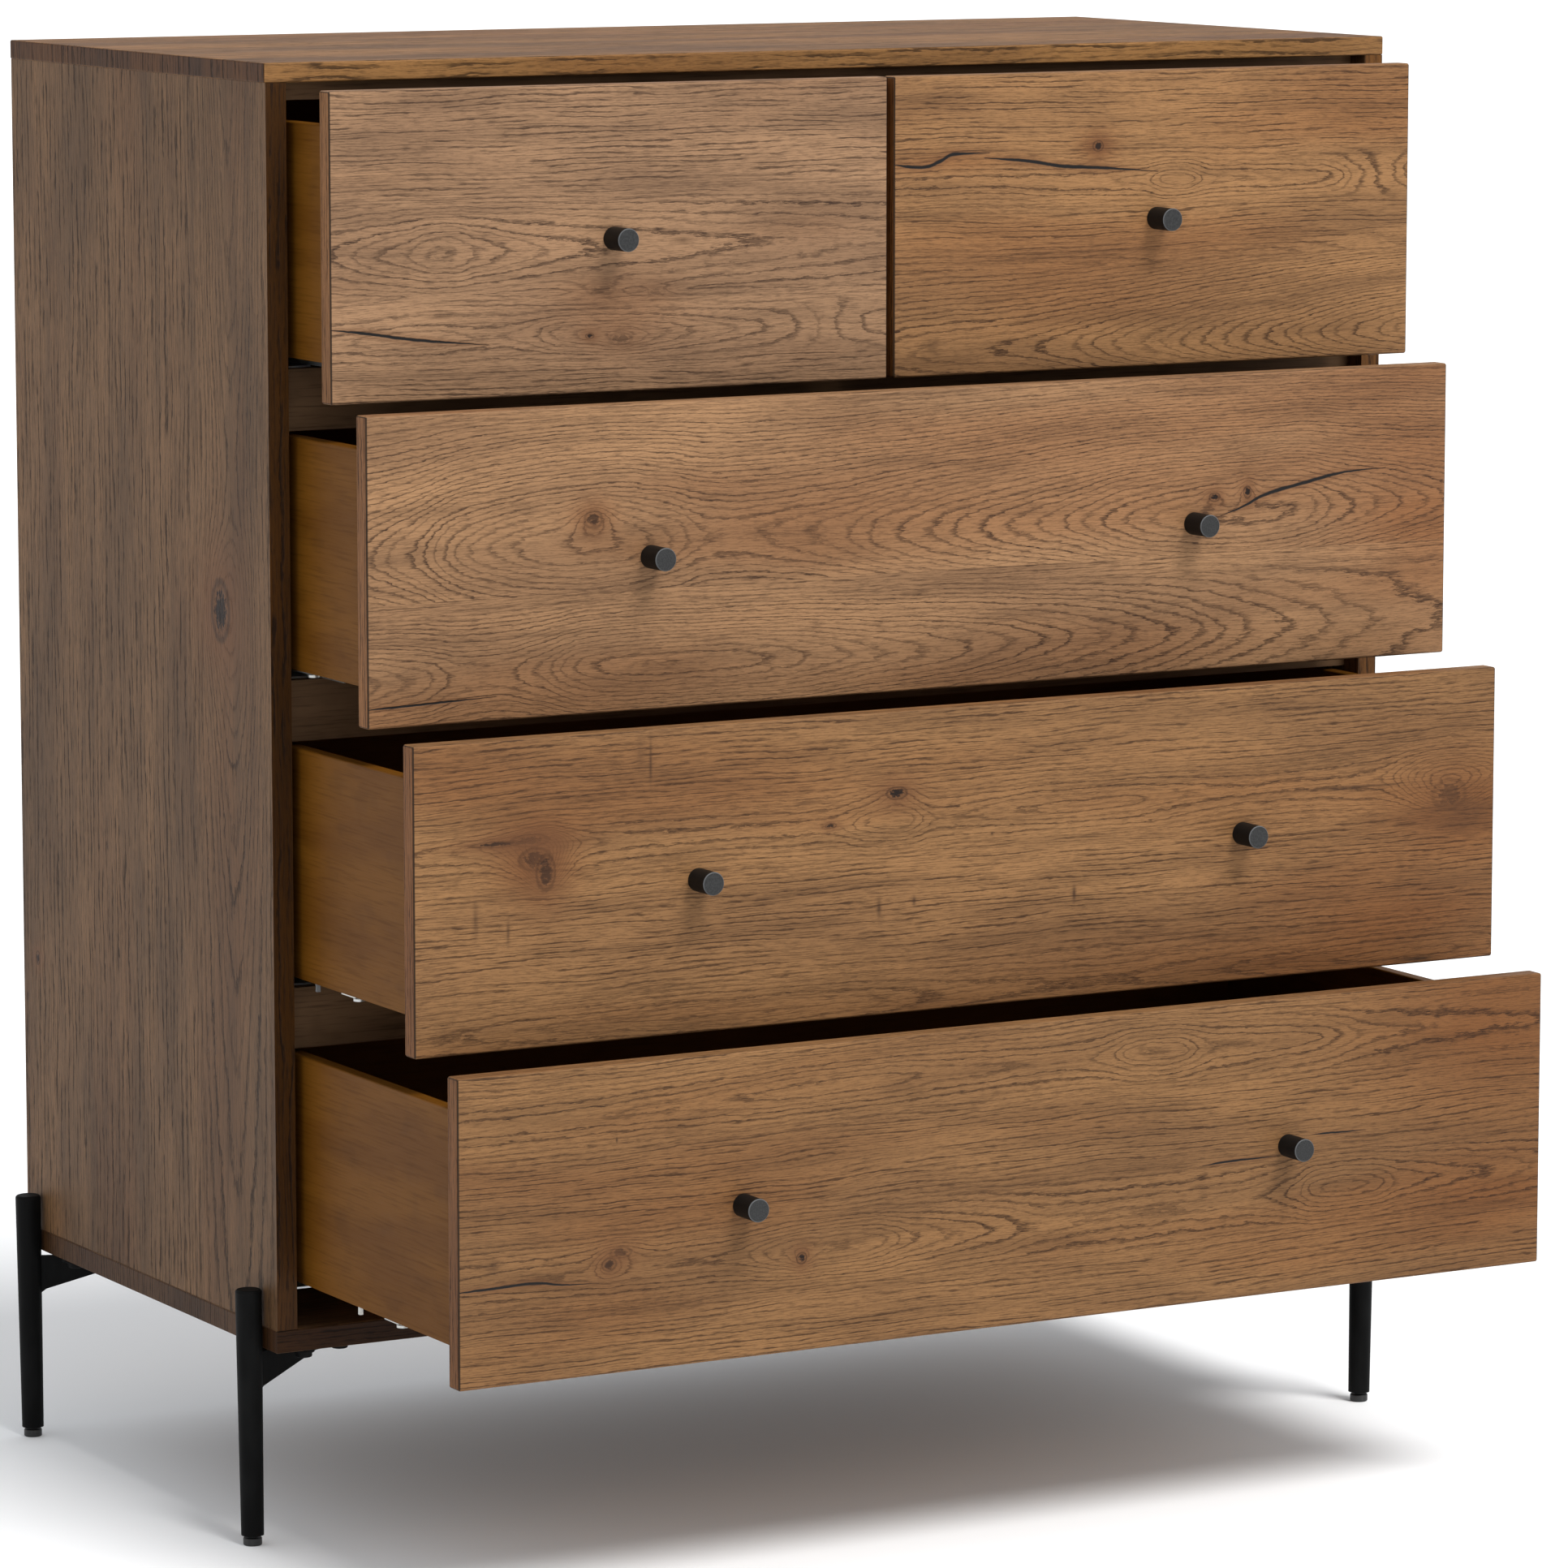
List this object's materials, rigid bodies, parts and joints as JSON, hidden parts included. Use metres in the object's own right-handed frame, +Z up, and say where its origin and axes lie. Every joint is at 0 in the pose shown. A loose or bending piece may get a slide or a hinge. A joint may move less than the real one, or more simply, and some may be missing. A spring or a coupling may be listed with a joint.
{
  "type": "tall chest of drawers",
  "caption": "Tall brown oak chest of inset drawers with small round black knobs, on slim round black steel legs fixed outside the case, stored with its drawers partly open.",
  "frame": {"origin": "on the floor, at the centre of the box round the whole chest as stored: midway between the sides, and 97 mm behind the case's front plane", "axes": "+X to the right for someone facing the drawers, +Y from the drawers towards the back, +Z up"},
  "size_m": [1.1112, 0.822, 1.212],
  "materials": {
    "case_oak": "matte brown oak veneer, fine open grain",
    "front_oak": "matte warm brown oak veneer, knots and dark filled cracks",
    "frame_wood": "stained matte",
    "back_board": "stained matte board",
    "box_wood": "smooth amber-brown stain, satin",
    "box_bottom": "smooth stained plywood",
    "knob_black": "satin black",
    "leg_black": "matte black powder coat",
    "bolt_black": "black oxide",
    "glide_black": "moulded black nylon",
    "slide_steel": "zinc plated"
  },
  "bodies": {
    "case": {"back_panel": "back_board", "bottom_board": "case_oak", "header_rail": "frame_wood", "leg_back_left": "leg_black", "leg_back_right": "leg_black", "leg_bolts": "bolt_black", "leg_front_left": "leg_black", "leg_front_right": "leg_black", "lower_drawer_slide_case": "slide_steel", "middle_drawer_slide_case": "slide_steel", "partition": "frame_wood", "rail_over_lower_drawer": "frame_wood", "rail_over_middle_drawer": "frame_wood", "rail_over_upper_drawer": "frame_wood", "rear_rail": "frame_wood", "side_panel_left": "case_oak", "side_panel_right": "case_oak", "top_board": "case_oak", "top_left_drawer_slide_case": "slide_steel", "top_right_drawer_slide_case": "slide_steel", "upper_drawer_slide_case": "slide_steel"},
    "top_left_drawer": {"top_left_drawer_bottom": "box_bottom", "top_left_drawer_box_ends": "box_wood", "top_left_drawer_box_sides": "box_wood", "top_left_drawer_front": "front_oak", "top_left_drawer_hardware": "slide_steel", "top_left_drawer_knobs": "knob_black"},
    "top_left_drawer_middle_slides": {"top_left_drawer_slide_middle": "slide_steel"},
    "top_right_drawer": {"top_right_drawer_bottom": "box_bottom", "top_right_drawer_box_ends": "box_wood", "top_right_drawer_box_sides": "box_wood", "top_right_drawer_front": "front_oak", "top_right_drawer_hardware": "slide_steel", "top_right_drawer_knobs": "knob_black"},
    "top_right_drawer_middle_slides": {"top_right_drawer_slide_middle": "slide_steel"},
    "upper_drawer": {"upper_drawer_bottom": "box_bottom", "upper_drawer_box_ends": "box_wood", "upper_drawer_box_sides": "box_wood", "upper_drawer_front": "front_oak", "upper_drawer_hardware": "slide_steel", "upper_drawer_knobs": "knob_black"},
    "upper_drawer_middle_slides": {"upper_drawer_slide_middle": "slide_steel"},
    "middle_drawer": {"middle_drawer_bottom": "box_bottom", "middle_drawer_box_ends": "box_wood", "middle_drawer_box_sides": "box_wood", "middle_drawer_front": "front_oak", "middle_drawer_hardware": "slide_steel", "middle_drawer_knobs": "knob_black"},
    "middle_drawer_middle_slides": {"middle_drawer_slide_middle": "slide_steel"},
    "lower_drawer": {"lower_drawer_bottom": "box_bottom", "lower_drawer_box_ends": "box_wood", "lower_drawer_box_sides": "box_wood", "lower_drawer_front": "front_oak", "lower_drawer_hardware": "slide_steel", "lower_drawer_knobs": "knob_black"},
    "lower_drawer_middle_slides": {"lower_drawer_slide_middle": "slide_steel"},
    "glide_back_left": {"glide_back_left": "glide_black"},
    "glide_back_right": {"glide_back_right": "glide_black"},
    "glide_front_left": {"glide_front_left": "glide_black"},
    "glide_front_right": {"glide_front_right": "glide_black"}
  },
  "joints": [
    {"name": "top_left_drawer_pull", "type": "slide", "parent": "case", "child": "top_left_drawer", "axis": [0, -1, 0], "range_m": [-0.073, 0.384]},
    {"name": "top_left_drawer_slide_run", "type": "slide", "parent": "case", "child": "top_left_drawer_middle_slides", "axis": [0, -1, 0], "range_m": [-0.0365, 0.192]},
    {"name": "top_right_drawer_pull", "type": "slide", "parent": "case", "child": "top_right_drawer", "axis": [0, -1, 0], "range_m": [-0.073, 0.384]},
    {"name": "top_right_drawer_slide_run", "type": "slide", "parent": "case", "child": "top_right_drawer_middle_slides", "axis": [0, -1, 0], "range_m": [-0.0365, 0.192]},
    {"name": "upper_drawer_pull", "type": "slide", "parent": "case", "child": "upper_drawer", "axis": [0, -1, 0], "range_m": [-0.135, 0.322]},
    {"name": "upper_drawer_slide_run", "type": "slide", "parent": "case", "child": "upper_drawer_middle_slides", "axis": [0, -1, 0], "range_m": [-0.0675, 0.161]},
    {"name": "middle_drawer_pull", "type": "slide", "parent": "case", "child": "middle_drawer", "axis": [0, -1, 0], "range_m": [-0.214, 0.243]},
    {"name": "middle_drawer_slide_run", "type": "slide", "parent": "case", "child": "middle_drawer_middle_slides", "axis": [0, -1, 0], "range_m": [-0.107, 0.1215]},
    {"name": "lower_drawer_pull", "type": "slide", "parent": "case", "child": "lower_drawer", "axis": [0, -1, 0], "range_m": [-0.288, 0.169]},
    {"name": "lower_drawer_slide_run", "type": "slide", "parent": "case", "child": "lower_drawer_middle_slides", "axis": [0, -1, 0], "range_m": [-0.144, 0.0845]},
    {"name": "glide_front_left_turn", "type": "hinge", "parent": "case", "child": "glide_front_left", "pos_m": [-0.5431, -0.068, 0], "axis": [0, 0, 1], "continuous": true},
    {"name": "glide_front_right_turn", "type": "hinge", "parent": "case", "child": "glide_front_right", "pos_m": [0.5431, -0.068, 0], "axis": [0, 0, 1], "continuous": true},
    {"name": "glide_back_left_turn", "type": "hinge", "parent": "case", "child": "glide_back_left", "pos_m": [-0.5431, 0.382, 0], "axis": [0, 0, 1], "continuous": true},
    {"name": "glide_back_right_turn", "type": "hinge", "parent": "case", "child": "glide_back_right", "pos_m": [0.5431, 0.382, 0], "axis": [0, 0, 1], "continuous": true}
  ],
  "couplings": [
    {"joint": "top_left_drawer_slide_run", "follows": "top_left_drawer_pull", "ratio": 0.5},
    {"joint": "top_right_drawer_slide_run", "follows": "top_right_drawer_pull", "ratio": 0.5},
    {"joint": "upper_drawer_slide_run", "follows": "upper_drawer_pull", "ratio": 0.5},
    {"joint": "middle_drawer_slide_run", "follows": "middle_drawer_pull", "ratio": 0.5},
    {"joint": "lower_drawer_slide_run", "follows": "lower_drawer_pull", "ratio": 0.5}
  ]
}
